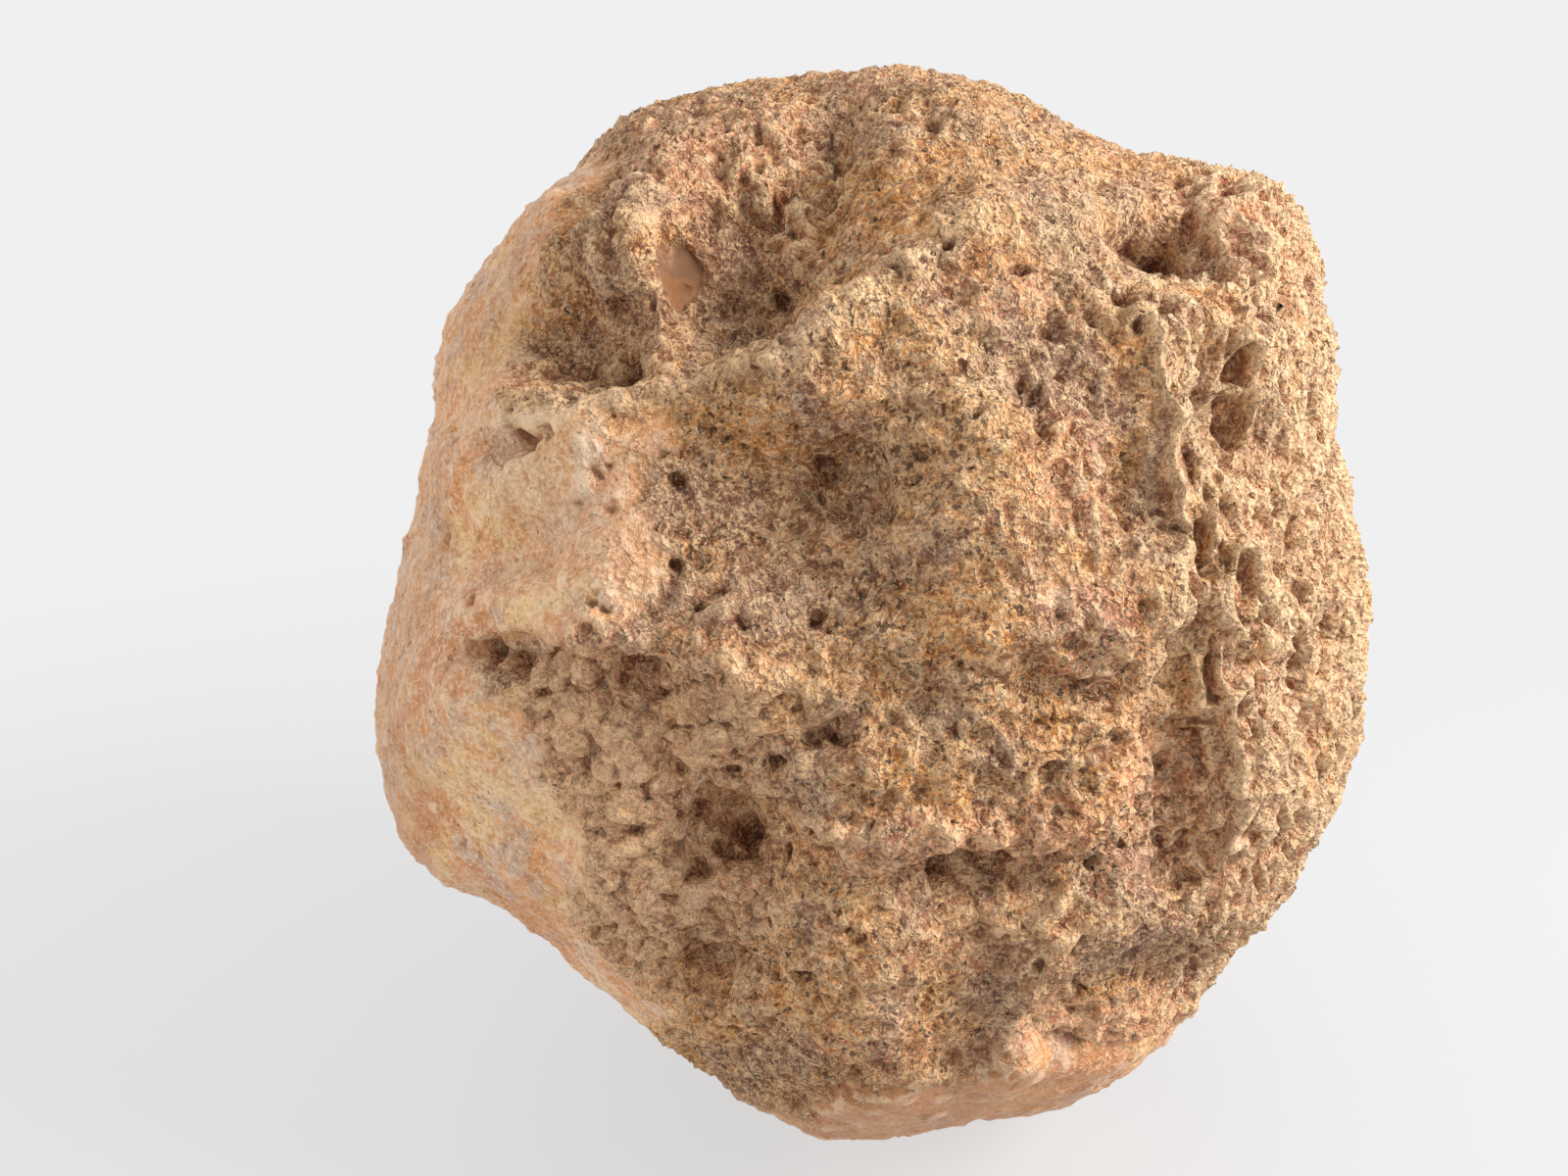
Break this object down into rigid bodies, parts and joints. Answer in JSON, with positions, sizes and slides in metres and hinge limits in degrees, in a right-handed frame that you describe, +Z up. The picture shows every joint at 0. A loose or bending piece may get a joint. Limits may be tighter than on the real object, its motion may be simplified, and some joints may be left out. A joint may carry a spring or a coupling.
{
  "type": "geode",
  "caption": "Whole, uncut geode: a rounded, pitted tan stone with a basin under its crown, a smooth left flank and a small flat to rest on.",
  "frame": {"origin": "on the flat that the stone rests on, under its middle", "axes": "+Z up, away from the flat; -Y towards the front with the basin and the open cavities; +X to the right of that front"},
  "size_m": [0.1288, 0.1267, 0.1361],
  "materials": {
    "stone": "matt porous tan crust with darker pits, pink and ochre patches, and a smoother waxy amber and grey flank"
  },
  "bodies": {
    "root": {"geode": "stone"}
  },
  "joints": []
}
